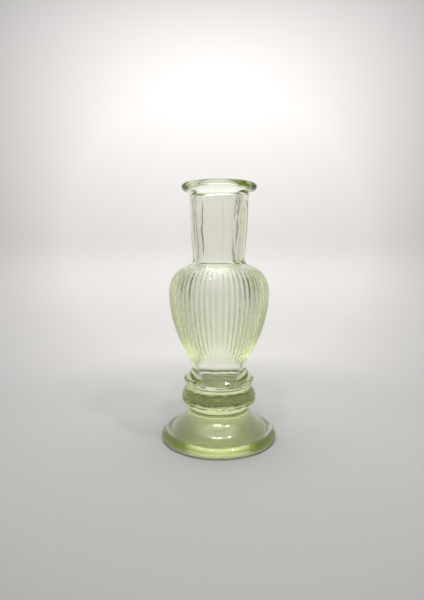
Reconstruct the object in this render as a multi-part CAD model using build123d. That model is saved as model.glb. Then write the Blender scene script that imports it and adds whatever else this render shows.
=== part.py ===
from build123d import *
import os

os.makedirs("parts", exist_ok=True)

# Glass bud vase: a fluted bowl and a straight neck on two knops and a round foot.
# Millimetres, +Z up, origin at the middle of the circle that the foot stands on.
# Outlines are drawn as (radius, height) pairs and turned about the Z axis.

# Driving dimensions
HEIGHT = 124.5          # table to the top of the lip
FOOT_R = 28.5           # widest part of the foot
FOOT_EDGE_Z = 1.9       # height of that widest circle
FOOT_FLAT_R = 27.4      # outside of the flat ring that meets the table
CREASE_R = 24.0         # groove between the foot's rounded rim and its dome
CREASE_Z = 4.0
PUNT_R = 20.0           # the shallow hollow under the foot
PUNT_DEPTH = 0.8
STEM_R = 14.85          # waist between foot and lower knop
STEM_Z = 15.4
LOWER_KNOP_R = 18.45
LOWER_KNOP_Z = 20.6
GROOVE_R = 16.3         # groove between the two knops
GROOVE_Z = 27.5
UPPER_KNOP_R = 17.45    # sharp edge of the upper knop
UPPER_KNOP_Z = 29.9
BOWL_FOOT_R = 13.55     # waist under the bowl
BOWL_FOOT_Z = 36.2
BOWL_R = 24.3           # widest part of the bowl
BOWL_Z = 71.6
NECK_R = 12.65          # bottom of the neck
NECK_Z = 88.2
NECK_TOP_R = 14.0
NECK_TOP_Z = 117.5
LIP_R = 18.0            # widest part of the rolled lip
LIP_Z = 122.7
LIP_UNDER_R = 16.2      # where the roll meets the flare of the neck
LIP_UNDER_Z = 120.5
CREST_R = 14.6          # circle on top of the lip

FLOOR_Z = 25.7          # inside floor of the vase
FLOOR_R = 10.0
WELL_R = 10.8           # straight part of the cavity above the floor
WELL_Z = 28.2
CAVITY_R = 19.8         # widest part of the cavity
CAVITY_Z = 72.0
BORE_R = 9.3            # bore of the neck
BORE_Z = 91.0
BORE_TOP_R = 10.3
BORE_TOP_Z = 115.0

FLUTE_COUNT = 60
FLUTE_DEPTH = 0.45
FLUTE_HALF_WIDTH = 0.45
FLUTE_START = 0.13      # where the flutes begin and end, as parts of the bowl's outline
FLUTE_END = 0.93

COLLAR_Z = 85.6         # joint between bowl and collar
REACH = 60.0            # larger than any radius, for the cutting blocks


def at(radius, height):
    """A point of an outline."""
    return Vector(radius, 0, height)


def turned(edges):
    """Solid of revolution of a closed outline."""
    return revolve(make_face(edges), Axis.Z)


def curve(*points, start=(0, 1), end=(0, 1)):
    """Smooth outline through points, with the directions it leaves and arrives in."""
    tangents = [at(*start), at(*end)]
    return Spline([at(*point) for point in points], tangents=tangents)


def bowl_outline():
    """Outside of the bowl, from the waist under it to the collar at the neck."""
    return curve((BOWL_FOOT_R, BOWL_FOOT_Z), (15.5, 41.9), (18.4, 47.5), (21.5, 55.4),
                 (23.6, 64.0), (BOWL_R, BOWL_Z), (23.4, 77.8), (20.5, 82.4),
                 (15.6, 85.4), end=(-1, 0.42))


def outside():
    """The whole vase as one solid, before the cavity is taken out."""
    foot_edge = TangentArc(at(FOOT_R, FOOT_EDGE_Z), at(FOOT_FLAT_R, 0), tangent=at(0, -1))
    foot_rim = curve((FOOT_R, FOOT_EDGE_Z), (28.0, 3.4), (26.8, 4.5), (25.4, 4.8),
                     (CREASE_R, CREASE_Z), end=(-0.7, -0.7))
    foot_dome = curve((CREASE_R, CREASE_Z), (23.5, 5.4), (22.4, 7.0), (20.4, 8.8),
                      (18.0, 10.5), (15.6, 13.1), (STEM_R, STEM_Z), start=(-0.1, 1))
    lower_knop = curve((STEM_R, STEM_Z), (16.8, 17.4), (LOWER_KNOP_R, LOWER_KNOP_Z),
                       (17.7, 23.9), (GROOVE_R, GROOVE_Z))
    knop_slope = Line(at(GROOVE_R, GROOVE_Z), at(UPPER_KNOP_R, UPPER_KNOP_Z))
    upper_knop = curve((UPPER_KNOP_R, UPPER_KNOP_Z), (15.3, 32.2),
                       (BOWL_FOOT_R, BOWL_FOOT_Z), start=(-1, 0.8))
    bowl = bowl_outline()
    collar = curve((15.6, 85.4), (13.3, 86.6), (NECK_R, NECK_Z), start=(-1, 0.42))
    neck = curve((NECK_R, NECK_Z), (13.3, 97.5), (13.8, 107.5), (NECK_TOP_R, NECK_TOP_Z))
    flare = curve((NECK_TOP_R, NECK_TOP_Z), (14.7, 119.6), (LIP_UNDER_R, LIP_UNDER_Z),
                  end=(1, 0.1))
    roll = curve((LIP_UNDER_R, LIP_UNDER_Z), (17.5, 121.35), (LIP_R, LIP_Z), (17.0, 124.1),
                 (CREST_R, HEIGHT), start=(1, 0.1), end=(-1, 0.05))
    closing = Polyline(at(CREST_R, HEIGHT), at(0, HEIGHT), at(0, 0), at(FOOT_FLAT_R, 0))
    return turned([foot_edge, foot_rim, foot_dome, lower_knop, knop_slope, upper_knop, bowl,
                   collar, neck, flare, roll, closing])


def cavity():
    """The space inside, from the floor to the mouth."""
    floor = Line(at(0, FLOOR_Z), at(FLOOR_R, FLOOR_Z))
    corner = curve((FLOOR_R, FLOOR_Z), (10.7, 26.4), (WELL_R, WELL_Z), start=(1, 0))
    body = curve((WELL_R, WELL_Z), (10.4, 38.0), (11.2, 46.0), (14.3, 55.5), (17.9, 64.0),
                 (CAVITY_R, CAVITY_Z), (18.6, 78.6), (14.6, 82.7), (10.6, 85.9),
                 (BORE_R, BORE_Z))
    bore = Line(at(BORE_R, BORE_Z), at(BORE_TOP_R, BORE_TOP_Z))
    mouth = curve((BORE_TOP_R, BORE_TOP_Z), (10.7, 119.0), (11.2, 121.9), (12.4, 123.7),
                  (CREST_R, HEIGHT), end=(1, 0.05))
    closing = Polyline(at(CREST_R, HEIGHT), at(0, HEIGHT), at(0, FLOOR_Z))
    return turned([floor, corner, body, bore, mouth, closing])


def punt():
    """The shallow hollow under the foot, which leaves a flat ring to stand on."""
    ceiling = ThreePointArc(at(0, PUNT_DEPTH), at(0.6 * PUNT_R, 0.9 * PUNT_DEPTH),
                            at(PUNT_R - 0.5, 0.55 * PUNT_DEPTH))
    edges = Polyline(at(PUNT_R - 0.5, 0.55 * PUNT_DEPTH), at(PUNT_R, 0), at(0, 0),
                     at(0, PUNT_DEPTH))
    return turned([ceiling, edges])


def slab(bottom, top):
    """Block that cuts out everything between two heights."""
    return Pos(0, 0, bottom) * Box(2 * REACH, 2 * REACH, top - bottom,
                                   align=(Align.CENTER, Align.CENTER, Align.MIN))


def flutes():
    """Narrow V-shaped valleys that divide the outside of the bowl into reeds."""
    path = bowl_outline().edge().trim(FLUTE_START, FLUTE_END)
    plane = Plane(origin=path @ 0, x_dir=(0, 1, 0), z_dir=path % 0)
    valley = plane * make_face(Polyline((-2 * FLUTE_HALF_WIDTH, FLUTE_DEPTH), (0, -FLUTE_DEPTH),
                                        (2 * FLUTE_HALF_WIDTH, FLUTE_DEPTH), close=True))
    cutter = sweep(valley, path=path)
    step = 360.0 / FLUTE_COUNT
    return [Rot(0, 0, step * index) * cutter for index in range(FLUTE_COUNT)]


def main():
    glass = outside() - cavity() - punt()
    foot = glass & slab(0, STEM_Z)
    core = Pos(0, 0, -1) * Cylinder(CREASE_R, REACH,
                                    align=(Align.CENTER, Align.CENTER, Align.MIN))
    valleys = flutes()
    nodes = {
        "foot_rim": foot - core,
        "foot_dome": foot & core,
        "lower_knop": glass & slab(STEM_Z, FLOOR_Z),
        "upper_knop": glass & slab(FLOOR_Z, BOWL_FOOT_Z),
        "fluted_bowl": (glass & slab(BOWL_FOOT_Z, BOWL_Z)) - valleys,
        "bowl_shoulder": (glass & slab(BOWL_Z, COLLAR_Z)) - valleys,
        "neck_collar": glass & slab(COLLAR_Z, BORE_Z),
        "neck": glass & slab(BORE_Z, NECK_TOP_Z),
        "rolled_lip": glass & slab(NECK_TOP_Z, HEIGHT + 1),
    }
    for name, shape in nodes.items():
        solid = shape.solids()[0]
        export_step(solid, os.path.join("parts", name + ".step"))
        print(name, "volume", round(solid.volume), "solids", len(shape.solids()))


main()
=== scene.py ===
import math

import bpy
import numpy as np
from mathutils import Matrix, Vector, noise


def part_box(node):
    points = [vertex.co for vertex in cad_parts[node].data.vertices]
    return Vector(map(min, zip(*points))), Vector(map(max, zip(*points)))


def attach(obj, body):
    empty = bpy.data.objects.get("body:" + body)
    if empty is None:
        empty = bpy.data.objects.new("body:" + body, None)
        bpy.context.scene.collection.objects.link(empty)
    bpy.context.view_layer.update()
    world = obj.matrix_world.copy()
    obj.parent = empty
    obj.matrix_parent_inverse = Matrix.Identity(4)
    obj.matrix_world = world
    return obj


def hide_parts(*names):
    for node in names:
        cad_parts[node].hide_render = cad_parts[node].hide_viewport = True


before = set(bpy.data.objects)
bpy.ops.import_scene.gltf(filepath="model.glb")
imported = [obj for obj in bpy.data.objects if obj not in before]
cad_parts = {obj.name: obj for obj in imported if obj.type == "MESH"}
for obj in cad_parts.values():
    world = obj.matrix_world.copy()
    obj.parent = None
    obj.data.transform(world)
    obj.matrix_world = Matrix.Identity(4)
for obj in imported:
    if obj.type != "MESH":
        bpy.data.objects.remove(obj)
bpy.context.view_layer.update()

# Glass bud vase: one continuous skin of glass, outside, inside and underneath, turned about
# the Z axis. The CAD nodes are sections of the same glass, so one closed mesh stands for all
# of them: light then meets glass only where the real vase has a surface.
# Metres, +Z up. Outlines are (radius, height) pairs in millimetres, scaled by MM.
MM = 0.001


# ---------------------------------------------------------------- sizes from the CAD frame

def bottom(node):
    """Height of a node's lowest point, in millimetres."""
    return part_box(node)[0].z / MM


def top(node):
    """Height of a node's highest point, in millimetres."""
    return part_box(node)[1].z / MM


def radius(node):
    """Largest radius of a node, in millimetres."""
    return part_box(node)[1].x / MM


HEIGHT = top("rolled_lip")
FOOT_R = radius("foot_rim")
STEM_Z = bottom("lower_knop")
FLOOR_Z = bottom("upper_knop")
BOWL_FOOT_Z = bottom("fluted_bowl")
COLLAR_Z = bottom("neck_collar")
NECK_TOP_Z = bottom("rolled_lip")
CREASE_R = radius("foot_dome")
LOWER_KNOP_R = radius("lower_knop")
UPPER_KNOP_R = radius("upper_knop")
BOWL_R = radius("fluted_bowl")
NECK_TOP_R = radius("neck")
LIP_R = radius("rolled_lip")

PUNT_R = 20.0
PUNT_DEPTH = 0.8
FOOT_EDGE_Z = 1.9
CREASE_Z = 4.0
CREST_R = 14.6

# Points where two stretches of the outline meet
PUNT_CORNER = PUNT_R - 0.5, 0.55 * PUNT_DEPTH
RING_START = PUNT_R + 0.4, 0
RING_END = 26.4, 0
FOOT_EDGE = FOOT_R, FOOT_EDGE_Z
CREASE_OUT = CREASE_R + 0.1, CREASE_Z + 0.12
CREASE_IN = CREASE_R - 0.02, CREASE_Z + 0.15
STEM = 14.85, STEM_Z
GROOVE = 16.3, 27.5
EDGE_LOW = UPPER_KNOP_R - 0.1, 29.7
EDGE_HIGH = UPPER_KNOP_R - 0.15, 30.3
BOWL_FOOT = 13.55, BOWL_FOOT_Z
SHOULDER = 15.6, 85.4
NECK_FOOT = 12.65, 88.2
NECK_MIDDLE = 13.62, 103.5
NECK_TOP = NECK_TOP_R, NECK_TOP_Z
LIP_UNDER = 16.2, 120.5
CREST = CREST_R, HEIGHT
BORE_TOP = 10.3, 115.0
BORE_FOOT = 9.3, bottom("neck")
WELL_SIDE = 10.8, 28.2
WELL_FLOOR = 10.0, FLOOR_Z

REEDS = 60
REED_DEPTH = 0.62
REED_START = 38.0, 46.0         # the reeds reach their full depth between these heights
REED_END = 3.0                  # and run out over this height below the collar

# Waves inside: lobes round the vase, height of one wave, depth
DRAW_LINES = 11, 26.0, 0.40     # in the bore
CAVITY_WAVES = 9, 14.0, 0.07    # in the bowl
CREASES = 16, 30.0, 0.22        # thin raised lines down the bore
CREASE_SHARPNESS = 12
CREASE_SHIFT = 50.0             # takes the creases from another part of the noise
CREASE_FADE = 4.0, 12.0         # they fade out between these distances below the crest
FLOOR_CALM = 6.0                # the other waves rise over this height above the floor
CREST_CALM = 4.0                # and fade out over this height below the crest

# Marks of the tool down the bore: degrees from the front, to the right, and depth
DRAW_MARKS = (-39, 0.45), (12, -0.40), (58, 0.30), (150, 0.40), (215, -0.35)
MARK_WIDTH = 0.55
MARK_DRIFT = 0.09, 5.5          # how far a mark wanders, in radians, and the height of one bend
MARK_SHIFT = 7.3                # takes each mark's wandering from another part of the noise
MARK_START = 2.0, 9.0           # the marks rise between these heights above the collar
MARK_END = -1.0, 6.0            # and fade out between these distances below the lip

BORE_DRIFT = 0.75               # the bore lies this far off the axis, towards the left
DRIFT_START = 60.0, 90.0        # it drifts off between these heights
DRIFT_END = 8.0                 # and is back on the axis over this height below the crest

# Waves outside: width of one wave, its height, depth
FOOT_WAVES = 4.0, 2.5, 0.16
KNOP_WAVES = 2.2, 0.9, 0.30
NECK_WAVES = 6.0, 16.0, 0.10    # on the bowl, neck and lip
TABLE_CALM = 2.0                # the waves rise over this height above the table

# Fine grooves under the lip
WRINKLE_SIZE = 3.4
WRINKLE_DEPTH = 0.16
WRINKLE_SHARPNESS = 5
WRINKLE_Z = 104.0, 112.0        # they begin at the first height and are deepest past the second
WRINKLE_END = 2.0               # and run out over this height round the top of the neck
WRINKLE_PLACE = 42              # degrees from the front, to the right, where they are deepest
WRINKLE_SPREAD = 0.1, 0.9       # cosines of the angles from there at which they fade
WRINKLE_BACK = 0.3              # share of their depth that is left on the far side

PUNT_ROUGHNESS = 0.6
RING_ROUGHNESS = 0.15
RING_R = 27.0                   # the ring that the vase stands on is rough out to here
DOME_ROUGHNESS = 0.14           # the top of the foot, worn by handling
DOME_EDGE = 1.0                 # the wear fades over this width inside the crease
DOME_TOP = 2.0                  # and over this height below the stem

ABSORPTION = 5.2, 2.4, 18.2     # of red, green and blue, per metre
ABSORPTION_SCALE = 30           # larger than any of them, to make a colour of them
IOR = 1.5
POLISH_SCALE = 180              # clouds of slightly duller polish
POLISH_RANGE = 0.35, 0.75       # noise below the first is fully polished, above the second dullest
POLISH_ROUGHNESS = 0.05         # roughness of the dullest
SKIN_SCALE = 500                # fine unevenness of the skin
SKIN_DEPTH = 0.006              # in millimetres

COARSE = 200            # points round a plain ring
FINE = 3 * COARSE       # points round a ring of the reeded bowl
REED_MARGIN = 0.2       # the fine rings go on for this height above the collar's foot
POLE_R = 1e-6           # a ring smaller than this is one point

# The stage, in metres
GAP = 0.0002                    # air between the foot and the floor
FLOOR_RING = 0.10               # radius of the floor's inner ring of points
FLOOR_SPAN = 0.20
FILLET = 0.10                   # radius of the curve from floor to wall
FILLET_STEPS = 12
WALL_TOP = 0.46
SWEEP_SIDES = 128

FLOOR_PALE = (0.44, 0.435, 0.425)
FLOOR_EDGE = 0.10, 0.18         # part of the change to the wall's colour comes between these radii
FLOOR_EDGE_SHARE = 0.4          # that part
WALL_FOOT = 0.08                # the rest comes below this height
# The wall's colour is painted light and shade: palest behind the vase, painted darker round to the
# sides and front as the shade of an unlit room. Past its inner ring the floor takes on part of this
# painted shade.
WALL_PALE = (0.74, 0.72, 0.71)
WALL_PAINTED_SHADE = (0.12, 0.12, 0.12)
PAINTED_LIGHT_CENTRE = (0.0, 0.30, 0.10)      # the palest place of the wall, straight behind the vase: painted light
PALE_REACH = (0.16, 0.44)       # palest up to the first distance from there, darkest past the next

SKY_EDGE = 0.80                 # sine of the elevation where the light overhead has faded
SKY_GLOW = 0.34, 2.75           # brightness from there down, and straight overhead
LAMPS = ("lamp_left", -17), ("lamp_middle", 5), ("lamp_right", 46)  # degrees from the front
LAMP_RADIUS = 0.19
LAMP_Z = 0.42
LAMP_TARGET = (0, 0, 0.04)
LAMP_SIZE = 0.025
LAMP_POWER = 0.3
WASH_PLACE = (0, 0.05, 0.44)
WASH_TARGET = (0, 0.3, 0.15)
WASH_SIZE = (0.3, 0.1)
WASH_POWER = 0.6
WASH_SPREAD = 120

CAMERA_PLACE = (-0.0034, -0.228, 0.0954)
CAMERA_TILT = 6.7               # degrees down
SENSOR = 36
LENS = 28.2
NEAREST = 0.005                 # the camera sees nothing closer than this
BOUNCES = 32
GLOSSY_BOUNCES = 16


# ---------------------------------------------------------------- outlines

def unit(direction):
    """The direction as a vector of length 1."""
    return np.array(direction) / math.hypot(*direction)


def curve(*points, start=(0, 1), end=(0, 1), step=1.2):
    """Smooth outline through points, with the directions it leaves and arrives in."""
    knots = np.array(points, float)
    gaps = np.hypot(*np.diff(knots, axis=0).T)
    count = len(knots)
    slopes = np.zeros((count, 2))
    matrix = np.eye(count)
    slopes[0] = unit(start)
    slopes[-1] = unit(end)
    for i in range(1, count - 1):
        before, after = gaps[i - 1], gaps[i]
        behind, ahead = knots[i] - knots[i - 1], knots[i + 1] - knots[i]
        matrix[i, i - 1:i + 2] = after, 2 * (before + after), before
        slopes[i] = 3 * (after * behind / before + before * ahead / after)
    slopes = np.linalg.solve(matrix, slopes)
    line = []
    for i, gap in enumerate(gaps):
        for t in np.linspace(0, 1, max(2, round(gap / step)), endpoint=False):
            place = (1 + 2 * t) * (1 - t) ** 2 * knots[i] + t * t * (3 - 2 * t) * knots[i + 1]
            bend = t * (1 - t) ** 2 * slopes[i] - t * t * (1 - t) * slopes[i + 1]
            line.append(place + gap * bend)
    line.append(knots[-1])
    return line


def underside():
    """The punt and the flat ring that the vase stands on, from the middle outwards."""
    hollow = curve((0, PUNT_DEPTH), (0.6 * PUNT_R, 0.9 * PUNT_DEPTH), PUNT_CORNER,
                   start=(1, 0), end=(1, -0.3), step=1.5)
    ring = curve(PUNT_CORNER, (PUNT_R, 0.05), RING_START, start=(1, -0.6), end=(1, 0), step=0.2)
    flat = curve(RING_START, RING_END, start=(1, 0), end=(1, 0), step=1.0)
    edge = curve(RING_END, (27.9, 0.5), FOOT_EDGE, start=(1, 0), step=0.35)
    return [hollow, ring, flat, edge]


def outside():
    """The outside, from the widest circle of the foot to the crest of the lip."""
    rim = curve(FOOT_EDGE, (28.0, 3.4), (26.8, 4.5), (25.4, 4.8), CREASE_OUT,
                end=(-0.7, -0.7), step=0.35)
    crease = curve(CREASE_OUT, (CREASE_R, CREASE_Z), CREASE_IN,
                   start=(-0.7, -0.7), end=(-0.1, 1), step=0.06)
    dome = curve(CREASE_IN, (23.5, 5.4), (22.4, 7.0), (20.4, 8.8), (18.0, 10.5), (15.6, 13.1),
                 STEM, start=(-0.1, 1), step=0.7)
    lower_knop = curve(STEM, (16.8, 17.4), (LOWER_KNOP_R, 20.6), (17.7, 23.9), GROOVE, step=0.6)
    slope = curve(GROOVE, EDGE_LOW, start=(0.1, 1), end=(0.45, 1), step=0.5)
    edge = curve(EDGE_LOW, (UPPER_KNOP_R, 30.0), EDGE_HIGH,
                 start=(0.45, 1), end=(-1, 0.8), step=0.15)
    upper_knop = curve(EDGE_HIGH, (15.3, 32.2), BOWL_FOOT, start=(-1, 0.8), step=0.6)
    bowl = curve(BOWL_FOOT, (15.5, 41.9), (18.4, 47.5), (21.5, 55.4), (23.6, 64.0),
                 (BOWL_R, 71.6), (23.4, 77.8), (20.5, 82.4), SHOULDER, end=(-1, 0.42))
    collar = curve(SHOULDER, (13.3, 86.6), NECK_FOOT, start=(-1, 0.42), step=0.4)
    neck = curve(NECK_FOOT, (13.3, 97.5), NECK_MIDDLE, end=(0.05, 1))
    neck_top = curve(NECK_MIDDLE, (13.8, 107.5), NECK_TOP, start=(0.05, 1), step=0.45)
    flare = curve(NECK_TOP, (14.7, 119.6), LIP_UNDER, end=(1, 0.1), step=0.35)
    roll = curve(LIP_UNDER, (17.5, 121.35), (LIP_R, 122.7), (17.0, 124.1), CREST,
                 start=(1, 0.1), end=(-1, 0.05), step=0.35)
    return [rim, crease, dome, lower_knop, slope, edge, upper_knop, bowl, collar, neck, neck_top,
            flare, roll]


def inside():
    """The inside, from the crest of the lip down to the middle of the floor."""
    mouth = curve(CREST, (12.4, 123.7), (11.2, 121.9), (10.7, 119.0), BORE_TOP,
                  start=(-1, 0), end=(0, -1), step=0.4)
    bore = curve(BORE_TOP, BORE_FOOT, start=(0, -1), end=(0, -1))
    body = curve(BORE_FOOT, (10.6, 85.9), (14.6, 82.7), (18.6, 78.6), (19.8, 72.0), (17.9, 64.0),
                 (14.3, 55.5), (11.2, 46.0), (10.4, 38.0), WELL_SIDE, start=(0, -1), end=(0, -1))
    corner = curve(WELL_SIDE, (10.7, 26.4), WELL_FLOOR, start=(0, -1), end=(-1, 0), step=0.25)
    floor = curve(WELL_FLOOR, (0, FLOOR_Z), start=(-1, 0), end=(-1, 0), step=1.0)
    return [mouth, bore, body, corner, floor]


# ---------------------------------------------------------------- surface

def fade(value, low, high):
    """0 below low, 1 above high, and an even rise between them."""
    return min(1.0, max(0.0, (value - low) / (high - low)))


def reed(angle, r, z):
    """How far the valleys between the reeds cut into the outside of the bowl."""
    share = fade(z, *REED_START) * fade(COLLAR_Z - z, 0, REED_END)
    return REED_DEPTH * share * r / BOWL_R * (1 - abs(math.cos(REEDS * angle / 2)))


def around_noise(lobes, rise, angle, z):
    """Noise from -1 to 1 that closes on itself round the vase."""
    turn = lobes / (2 * math.pi)
    return noise.noise(Vector((turn * math.cos(angle), turn * math.sin(angle), z / rise)))


def draw_marks(r, angle, z):
    """Single wandering lines that the tool left down the bore."""
    sway, pace = MARK_DRIFT
    total = 0.0
    for index, (place, depth) in enumerate(DRAW_MARKS):
        wander = sway * noise.noise(Vector((MARK_SHIFT * index, 0, z / pace)))
        away = (angle - math.radians(270 + place) - wander + math.pi) % (2 * math.pi) - math.pi
        total += depth * math.exp(-(r * away / MARK_WIDTH) ** 2)
    return total * fade(z - COLLAR_Z, *MARK_START) * fade(NECK_TOP_Z - z, *MARK_END)


def wrinkle(x, y, z, angle):
    """Depth of the thin winding grooves outside the top of the neck."""
    near = fade(math.cos(angle - math.radians(270 + WRINKLE_PLACE)), *WRINKLE_SPREAD)
    share = (WRINKLE_BACK + (1 - WRINKLE_BACK) * near) * fade(z, *WRINKLE_Z)
    share *= fade(NECK_TOP_Z + WRINKLE_END / 2 - z, 0, WRINKLE_END)
    value = noise.noise(Vector((x / WRINKLE_SIZE, y / WRINKLE_SIZE, z / WRINKLE_SIZE)))
    return WRINKLE_DEPTH * share * max(0.0, 1 - WRINKLE_SHARPNESS * abs(value)) ** 2


def wave_inside(r, angle, z):
    """How far the inside strays outwards: soft waves, and in the bore creases and draw marks."""
    below = HEIGHT - z
    lobes, rise, depth = DRAW_LINES if z > COLLAR_Z else CAVITY_WAVES
    depth *= fade(z, FLOOR_Z, FLOOR_Z + FLOOR_CALM) * fade(below, 0, CREST_CALM)
    value = depth * around_noise(lobes, rise, angle, z)
    if z > COLLAR_Z:
        lobes, rise, depth = CREASES
        depth *= fade(below, *CREASE_FADE)
        ridge = 1 - abs(around_noise(lobes, rise, angle, z + CREASE_SHIFT))
        value -= depth * ridge ** CREASE_SHARPNESS
        value += draw_marks(r, angle, z)
    return value - BORE_DRIFT * fade(z, *DRIFT_START) * fade(below, 0, DRIFT_END) * math.cos(angle)


def wave_outside(r, angle, z):
    """How far the outside strays, which is always inwards."""
    x, y = r * math.cos(angle), r * math.sin(angle)
    size, rise, depth = NECK_WAVES
    if z < STEM_Z:
        size, rise, depth = FOOT_WAVES
    elif z < BOWL_FOOT_Z:
        size, rise, depth = KNOP_WAVES
    depth *= fade(z, 0, TABLE_CALM)
    value = noise.noise(Vector((x / size, y / size, z / rise)))
    return -depth * (0.5 + 0.5 * value) - wrinkle(x, y, z, angle)


def joined(outlines):
    """Outlines end to end as one list of points, without the doubled ends."""
    line = list(outlines[0])
    for outline in outlines[1:]:
        line += outline[1:]
    return line


def ring_points(side, r, z, count):
    """One ring of the skin, in metres."""
    points = []
    for index in range(count):
        angle = 2 * math.pi * index / count
        reach = r
        if side == "inside":
            reach += wave_inside(r, angle, z)
        elif side == "outside":
            reach += wave_outside(r, angle, z) - reed(angle, r, z)
        points.append((reach * math.cos(angle) * MM, reach * math.sin(angle) * MM, z * MM))
    return points


def cap(faces, low, high):
    """Triangles between a ring and the single point in the middle of the floor or punt."""
    pole, ring = (low, high) if len(low) == 1 else (high, low)
    for index in range(len(ring)):
        pair = [ring[index], ring[(index + 1) % len(ring)]]
        faces.append([pole[0], *(reversed(pair) if pole is low else pair)])


def stitch(faces, low, high):
    """Faces between two rings, where one may have three times as many points."""
    few, many = (low, high) if len(low) <= len(high) else (high, low)
    ratio = len(many) // len(few)
    for index in range(len(few)):
        after = (index + 1) % len(few)
        fan = [many[(index * ratio + k) % len(many)] for k in range(ratio + 1)]
        face = [few[index], *fan, few[after]]
        if few is low:
            face.reverse()
        faces.append(face)


def matt_share(side, r, z):
    """1 in the punt, less on the ring that the vase stands on and on the dome, elsewhere 0."""
    if side == "outside":
        worn = fade(CREASE_R - r, 0, DOME_EDGE) * fade(STEM_Z - z, 0, DOME_TOP)
        return worn * DOME_ROUGHNESS / PUNT_ROUGHNESS
    if side != "under" or r > RING_R:
        return 0.0
    return 1.0 if r < PUNT_R else RING_ROUGHNESS / PUNT_ROUGHNESS


def build_glass():
    """The vase's closed skin, with the attribute matt for its roughness."""
    verts, faces, rings, line, matt = [], [], [], [], []
    for side, outlines in (("under", underside()), ("outside", outside()), ("inside", inside())):
        skip = 1 if line else 0
        line += [(side, float(r), float(z)) for r, z in joined(outlines)[skip:]]
    for side, r, z in line:
        first = len(verts)
        if r < POLE_R:
            verts.append((0, 0, z * MM))
        else:
            reeded = side == "outside" and BOWL_FOOT_Z < z < COLLAR_Z + REED_MARGIN
            verts += ring_points(side, r, z, FINE if reeded else COARSE)
        ring = list(range(first, len(verts)))
        rings.append(ring)
        matt += [matt_share(side, r, z)] * len(ring)
    for low, high in zip(rings, rings[1:]):
        if len(low) > 1 and len(high) > 1:
            stitch(faces, low, high)
        else:
            cap(faces, low, high)
    mesh = bpy.data.meshes.new("glass")
    mesh.from_pydata(verts, [], faces)
    mesh.attributes.new("matt", "FLOAT", "POINT").data.foreach_set("value", matt)
    mesh.update()
    mesh.shade_smooth()
    return mesh


# ---------------------------------------------------------------- materials

def node(tree, kind, values=None, **settings):
    """New shader node with its settings and the values of its inputs."""
    made = tree.nodes.new("ShaderNode" + kind)
    for name, setting in settings.items():
        setattr(made, name, setting)
    for name, value in (values or {}).items():
        made.inputs[name].default_value = value
    return made


def glass_material():
    """Yellow-green glass: matt in the punt, a little worn on the foot, elsewhere fire-polished."""
    material = bpy.data.materials.new("green_glass")
    material.use_nodes = True
    tree = material.node_tree
    tree.nodes.clear()
    link = tree.links.new
    out = node(tree, "OutputMaterial")
    shader = node(tree, "BsdfPrincipled", {"Base Color": (1, 1, 1, 1), "IOR": IOR,
                                           "Transmission Weight": 1})
    tint = [1 - part / ABSORPTION_SCALE for part in ABSORPTION]
    absorb = node(tree, "VolumeAbsorption", {"Color": (*tint, 1), "Density": ABSORPTION_SCALE})
    link(shader.outputs["BSDF"], out.inputs["Surface"])
    link(absorb.outputs["Volume"], out.inputs["Volume"])

    place = node(tree, "TexCoord")
    share = node(tree, "Attribute", attribute_name="matt")
    matt = node(tree, "MapRange", {"To Max": PUNT_ROUGHNESS})
    cloud = node(tree, "TexNoise", {"Scale": POLISH_SCALE, "Detail": 3})
    polish = node(tree, "MapRange", {"From Min": POLISH_RANGE[0], "From Max": POLISH_RANGE[1],
                                     "To Min": 0.0, "To Max": POLISH_ROUGHNESS})
    roughness = node(tree, "Math", operation="ADD")
    link(share.outputs["Fac"], matt.inputs["Value"])
    link(place.outputs["Object"], cloud.inputs["Vector"])
    link(cloud.outputs["Fac"], polish.inputs["Value"])
    link(matt.outputs["Result"], roughness.inputs[0])
    link(polish.outputs["Result"], roughness.inputs[1])
    link(roughness.outputs["Value"], shader.inputs["Roughness"])

    skin = node(tree, "TexNoise", {"Scale": SKIN_SCALE, "Detail": 2})
    bump = node(tree, "Bump", {"Strength": 1.0, "Distance": SKIN_DEPTH * MM})
    link(place.outputs["Object"], skin.inputs["Vector"])
    link(skin.outputs["Fac"], bump.inputs["Height"])
    link(bump.outputs["Normal"], shader.inputs["Normal"])
    return material


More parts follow.
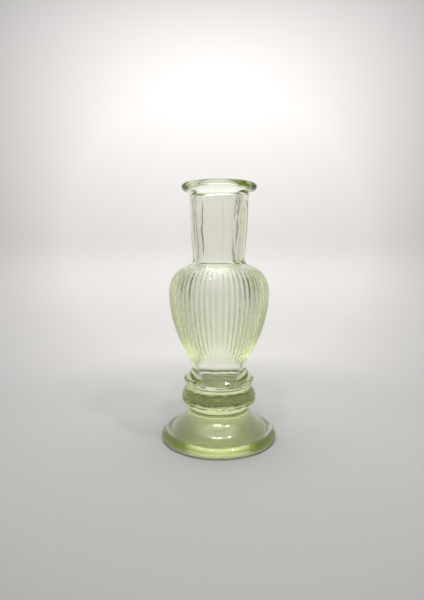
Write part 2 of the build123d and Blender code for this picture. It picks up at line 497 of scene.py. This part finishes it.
def paper_and_painted_shade_material():
    """Pale grey round the vase; the wall is painted palest behind it, as light, and painted darker
    round to the front, as shade.
    """
    material = bpy.data.materials.new("paper_with_painted_shade")
    material.use_nodes = True
    tree = material.node_tree
    link = tree.links.new
    shader = next(n for n in tree.nodes if n.type == "BSDF_PRINCIPLED")
    shader.inputs["Roughness"].default_value = 0.7
    shader.inputs["Specular IOR Level"].default_value = 0.1
    place = node(tree, "TexCoord")

    # Painted light and shade: the wall's colour darkens with distance from its palest place.
    away = node(tree, "VectorMath", {1: PAINTED_LIGHT_CENTRE}, operation="DISTANCE")
    pale = node(tree, "MapRange", {"From Min": PALE_REACH[1], "From Max": PALE_REACH[0]})
    wall = node(tree, "Mix", {"A": (*WALL_PAINTED_SHADE, 1), "B": (*WALL_PALE, 1)}, data_type="RGBA")
    link(place.outputs["Object"], away.inputs[0])
    link(away.outputs["Value"], pale.inputs["Value"])
    link(pale.outputs["Result"], wall.inputs["Factor"])

    plan = node(tree, "VectorMath", {1: (1, 1, 0)}, operation="MULTIPLY")
    reach = node(tree, "VectorMath", operation="LENGTH")
    outward = node(tree, "MapRange", {"From Min": FLOOR_EDGE[0], "From Max": FLOOR_EDGE[1],
                                      "To Max": FLOOR_EDGE_SHARE}, interpolation_type="SMOOTHSTEP")
    link(place.outputs["Object"], plan.inputs[0])
    link(plan.outputs["Vector"], reach.inputs[0])
    link(reach.outputs["Value"], outward.inputs["Value"])

    parts = node(tree, "SeparateXYZ")
    up = node(tree, "MapRange", {"From Max": WALL_FOOT, "To Max": 1 - FLOOR_EDGE_SHARE},
              interpolation_type="SMOOTHSTEP")
    link(place.outputs["Object"], parts.inputs["Vector"])
    link(parts.outputs["Z"], up.inputs["Value"])

    # The floor takes on part of the wall's painted shade, outwards and upwards.
    share = node(tree, "Math", operation="ADD")
    paper = node(tree, "Mix", {"A": (*FLOOR_PALE, 1)}, data_type="RGBA")
    link(outward.outputs["Result"], share.inputs[0])
    link(up.outputs["Result"], share.inputs[1])
    link(wall.outputs["Result"], paper.inputs["B"])
    link(share.outputs["Value"], paper.inputs["Factor"])
    link(paper.outputs["Result"], shader.inputs["Base Color"])
    return material


# ---------------------------------------------------------------- the vase

def add(name, data):
    """New object in the scene."""
    made = bpy.data.objects.new(name, data)
    bpy.context.scene.collection.objects.link(made)
    return made


vase = add("vase_glass", build_glass())
vase.data.materials.append(glass_material())
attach(vase, "root")
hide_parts("foot_rim", "foot_dome", "lower_knop", "upper_knop", "fluted_bowl",
            "bowl_shoulder", "neck_collar", "neck", "rolled_lip")


# ---------------------------------------------------------------- stage, light and camera

def sweep():
    """Pale floor that curves up into a round wall well outside the vase."""
    profile = [(FLOOR_RING, -GAP), (FLOOR_SPAN, -GAP)]
    for step in range(1, FILLET_STEPS + 1):
        angle = math.pi / 2 * step / FILLET_STEPS
        profile.append((FLOOR_SPAN + FILLET * math.sin(angle), FILLET * (1 - math.cos(angle)) - GAP))
    profile.append((FLOOR_SPAN + FILLET, WALL_TOP))
    verts, faces = [(0, 0, -GAP)], []
    for r, z in profile:
        for index in range(SWEEP_SIDES):
            angle = 2 * math.pi * index / SWEEP_SIDES
            verts.append((r * math.cos(angle), r * math.sin(angle), z))
    for index in range(SWEEP_SIDES):
        faces.append((0, 1 + index, 1 + (index + 1) % SWEEP_SIDES))
    for row in range(len(profile) - 1):
        low = 1 + row * SWEEP_SIDES
        high = low + SWEEP_SIDES
        for index in range(SWEEP_SIDES):
            after = (index + 1) % SWEEP_SIDES
            faces.append((low + index, high + index, high + after, low + after))
    mesh = bpy.data.meshes.new("sweep")
    mesh.from_pydata(verts, [], faces)
    mesh.shade_smooth()
    mesh.materials.append(paper_and_painted_shade_material())
    add("studio_sweep", mesh)


def area_light(name, place, target, size, power, spread=180):
    """Rectangular lamp at a place, aimed at a target."""
    data = bpy.data.lights.new(name, "AREA")
    data.shape = "RECTANGLE"
    data.size, data.size_y = size
    data.energy = power
    data.spread = math.radians(spread)
    lamp = add(name, data)
    lamp.location = place
    lamp.rotation_euler = (Vector(target) - Vector(place)).to_track_quat("-Z", "Y").to_euler()


def small_lamps():
    """Lamps in front of the vase and above it, for the pin highlights."""
    for name, degrees in LAMPS:
        angle = math.radians(degrees)
        place = (LAMP_RADIUS * math.sin(angle), -LAMP_RADIUS * math.cos(angle), LAMP_Z)
        area_light(name, place, LAMP_TARGET, (LAMP_SIZE, LAMP_SIZE), LAMP_POWER)


def room_light():
    """Soft light through the opening above the wall, brightest straight overhead."""
    world = bpy.data.worlds.new("room")
    bpy.context.scene.world = world
    world.use_nodes = True
    tree = world.node_tree
    sky = tree.nodes["Background"]
    sky.inputs["Color"].default_value = (1, 1, 1, 1)
    look = node(tree, "TexCoord")
    height = node(tree, "SeparateXYZ")
    glow = node(tree, "MapRange", {"From Min": SKY_EDGE, "To Min": SKY_GLOW[0],
                                   "To Max": SKY_GLOW[1]}, interpolation_type="SMOOTHERSTEP")
    tree.links.new(look.outputs["Generated"], height.inputs["Vector"])
    tree.links.new(height.outputs["Z"], glow.inputs["Value"])
    tree.links.new(glow.outputs["Result"], sky.inputs["Strength"])


def set_camera():
    """Camera at the height of the neck, looking slightly down."""
    data = bpy.data.cameras.new("camera")
    data.sensor_width = SENSOR
    data.lens = LENS
    data.clip_start = NEAREST
    camera = add("camera", data)
    camera.location = CAMERA_PLACE
    camera.rotation_euler = (math.radians(90 - CAMERA_TILT), 0, 0)
    bpy.context.scene.camera = camera


sweep()
area_light("wall_wash", WASH_PLACE, WASH_TARGET, WASH_SIZE, WASH_POWER, WASH_SPREAD)
small_lamps()
room_light()
set_camera()

cycles = bpy.context.scene.cycles
cycles.max_bounces = BOUNCES
cycles.transmission_bounces = BOUNCES
cycles.glossy_bounces = GLOSSY_BOUNCES
cycles.use_denoising = True
bpy.context.scene.view_settings.view_transform = "Standard"
